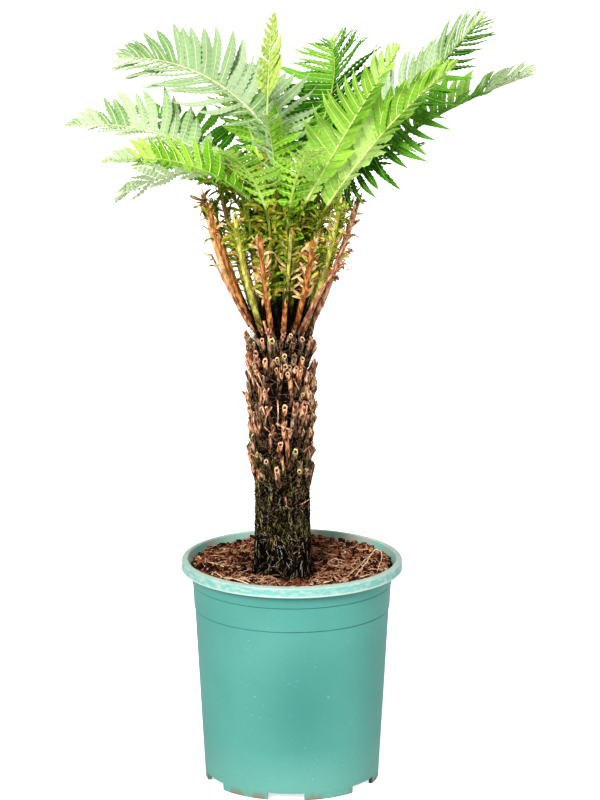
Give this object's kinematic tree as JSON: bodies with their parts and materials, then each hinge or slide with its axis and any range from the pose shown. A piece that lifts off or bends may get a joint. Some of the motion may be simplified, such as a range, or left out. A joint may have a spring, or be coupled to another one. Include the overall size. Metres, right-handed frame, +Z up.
{
  "type": "silver lady fern in a nursery pot",
  "caption": "Trunked silver lady fern with a ring of cut leaf stalks and arching feathered fronds, standing in a tapered plastic nursery pot filled with compost.",
  "frame": {"origin": "centre of the pot's underside, at floor level", "axes": "+Z up along the pot and the trunk; +X to the right in the picture; -Y towards the camera"},
  "size_m": [0.6515, 0.5344, 1.0955],
  "materials": {
    "pot_plastic": "dusty teal",
    "compost": "coir and bark, loose",
    "trunk_bark": "rough, fibrous",
    "cut_stalk": "matt, dried",
    "frond_silver": "silvery leaf",
    "frond_bright": "fresh leaf",
    "frond_young": "young leaf",
    "frond_mid": "leaf",
    "frond_dark": "shaded leaf"
  },
  "bodies": {
    "root": {"compost": "compost", "frond_back": "frond_mid", "frond_back_far_left": "frond_silver", "frond_back_far_right": "frond_dark", "frond_back_inner": "frond_bright", "frond_back_left": "frond_mid", "frond_back_left_low": "frond_dark", "frond_back_right": "frond_mid", "frond_front": "frond_bright", "frond_front_left": "frond_bright", "frond_front_right": "frond_mid", "frond_left_back_low": "frond_mid", "frond_left_front": "frond_bright", "frond_left_high": "frond_silver", "frond_left_long": "frond_silver", "frond_left_low": "frond_silver", "frond_right_back_inner": "frond_mid", "frond_right_back_low": "frond_dark", "frond_right_front": "frond_young", "frond_right_high": "frond_dark", "frond_right_inner": "frond_dark", "frond_right_low": "frond_dark", "frond_right_young": "frond_young", "frond_young_upright": "frond_young", "inner_stalk_01": "cut_stalk", "inner_stalk_02": "cut_stalk", "inner_stalk_03": "cut_stalk", "inner_stalk_04": "cut_stalk", "inner_stalk_05": "cut_stalk", "inner_stalk_06": "cut_stalk", "inner_stalk_07": "cut_stalk", "inner_stalk_08": "cut_stalk", "inner_stalk_09": "cut_stalk", "inner_stalk_10": "cut_stalk", "inner_stalk_11": "cut_stalk", "outer_stalk_01": "cut_stalk", "outer_stalk_02": "cut_stalk", "outer_stalk_03": "cut_stalk", "outer_stalk_04": "cut_stalk", "outer_stalk_05": "cut_stalk", "outer_stalk_06": "cut_stalk", "outer_stalk_07": "cut_stalk", "outer_stalk_08": "cut_stalk", "outer_stalk_09": "cut_stalk", "outer_stalk_10": "cut_stalk", "outer_stalk_11": "cut_stalk", "outer_stalk_12": "cut_stalk", "outer_stalk_13": "cut_stalk", "outer_stalk_14": "cut_stalk", "outer_stalk_15": "cut_stalk", "outer_stalk_16": "cut_stalk", "pot": "pot_plastic", "trunk": "trunk_bark"}
  },
  "joints": []
}
